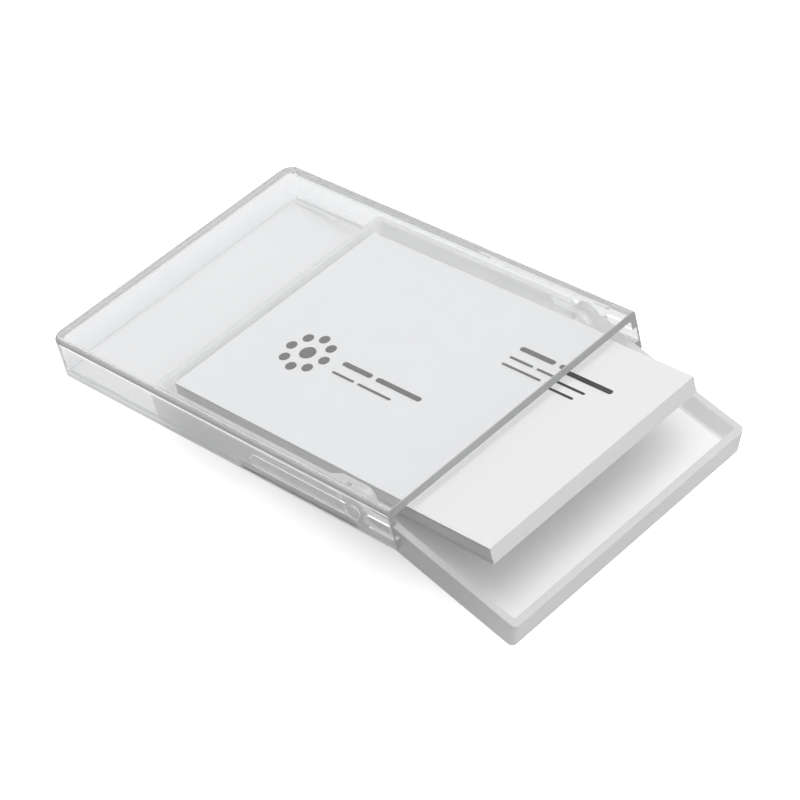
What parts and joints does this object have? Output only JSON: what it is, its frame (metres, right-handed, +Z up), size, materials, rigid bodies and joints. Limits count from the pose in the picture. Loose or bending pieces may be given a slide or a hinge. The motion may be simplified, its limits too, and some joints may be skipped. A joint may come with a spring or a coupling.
{
  "type": "business card box",
  "caption": "Clear sliding case for business cards: a sleeve, a frosted tray that slides out of it, a front flap that drops on pins, and a stack of plain cards.",
  "frame": {"origin": "on the ground, under the middle of the box as it stands open on the sleeve's closed end and the flap's front edge", "axes": "+X along the box from the closed end of the sleeve to the flap, +Y across it, +Z up"},
  "size_m": [0.124, 0.067, 0.0195],
  "materials": {
    "clear_plastic": "clear, polished polystyrene",
    "frosted_plastic": "frosted, translucent, fine satin",
    "card_stock": "smooth white card, uncoated"
  },
  "bodies": {
    "sleeve": {"sleeve": "clear_plastic"},
    "tray": {"tray": "frosted_plastic", "card_01": "card_stock", "card_02": "card_stock", "card_03": "card_stock", "card_04": "card_stock", "card_05": "card_stock", "card_06": "card_stock", "card_07": "card_stock", "card_08": "card_stock", "card_09": "card_stock", "card_10": "card_stock", "card_11": "card_stock", "card_12": "card_stock", "card_13": "card_stock", "card_14": "card_stock", "card_15": "card_stock", "card_16": "card_stock", "card_17": "card_stock"},
    "flap": {"flap": "frosted_plastic"}
  },
  "joints": [
    {"name": "tray_slide", "type": "slide", "parent": "sleeve", "child": "tray", "axis": [0.9943, 0, 0.1069], "range_m": [-0.0265, 0]},
    {"name": "flap_hinge", "type": "hinge", "parent": "tray", "child": "flap", "pos_m": [0.02421, 0, 0.01299], "axis": [0, 1, 0], "range_deg": [-20.5, 0]}
  ]
}
